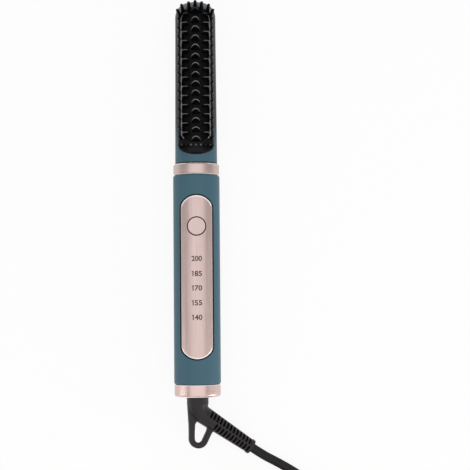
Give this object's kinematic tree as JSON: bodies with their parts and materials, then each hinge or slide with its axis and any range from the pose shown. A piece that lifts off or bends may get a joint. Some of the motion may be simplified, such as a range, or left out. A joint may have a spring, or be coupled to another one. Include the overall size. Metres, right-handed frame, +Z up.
{
  "type": "hair straightening brush",
  "caption": "Straight-handled hair straightening brush with a heated toothed head, a push button on a long panel and a swivelling cord with its plug.",
  "frame": {"origin": "middle of the brush's footprint, on the surface that it lies on, without its cord", "axes": "+X to the brush's right, +Y along it to the tip of the head, +Z up, the way the teeth point"},
  "size_m": [0.1225, 0.4542, 0.0388],
  "materials": {
    "teal_shell": "satin",
    "black_plastic": "satin",
    "coated_plate": "gloss",
    "rose_metal": "brushed",
    "ceramic_heater": "matte",
    "insulation": "matte",
    "steel": "plain",
    "pale_plastic": "matte",
    "wire": "matte",
    "silicone": "matte",
    "board": "satin",
    "clear_guide": "gloss",
    "brass": "plain",
    "cord_rubber": "matte",
    "pin_metal": "plated"
  },
  "bodies": {
    "body": {"head_housing": "teal_shell", "bristle_frame": "black_plastic", "heater_plate": "coated_plate", "heating_element": "ceramic_heater", "insulation_sheet": "insulation", "heater_clamp": "steel", "clamp_screws": "steel", "temperature_sensor": "ceramic_heater", "thermal_fuse": "steel", "neck_bush": "pale_plastic", "collar_ring": "rose_metal", "heater_wires": "wire", "handle_front_shell": "teal_shell", "handle_rear_shell": "teal_shell", "shell_screws": "steel", "control_panel": "rose_metal", "button_dome": "silicone", "control_board": "board", "board_screws": "steel", "indicator_lights": "pale_plastic", "light_guide": "clear_guide", "power_parts": "black_plastic", "mains_wires": "wire", "contact_holder": "pale_plastic", "contact_springs": "brass", "end_cap": "rose_metal", "swivel_bush": "pale_plastic"},
    "button": {"power_button": "rose_metal"},
    "swivel": {"cord_relief": "cord_rubber", "swivel_spindle": "pale_plastic", "retaining_clip": "steel", "slip_rings": "brass", "supply_cord": "cord_rubber", "cord_coil": "cord_rubber", "cord_tail": "cord_rubber", "plug_body": "black_plastic", "plug_pins": "pin_metal"}
  },
  "joints": [
    {"name": "button_press", "type": "slide", "parent": "body", "child": "button", "axis": [0, 0, -1], "range_m": [0, 0.0008], "stiffness_N_per_m": 300, "springref_m": -0.001, "deforming": ["button_dome"]},
    {"name": "cord_swivel", "type": "hinge", "parent": "body", "child": "swivel", "pos_m": [0, -0.1425, 0.01525], "axis": [0, 1, 0], "continuous": true}
  ]
}
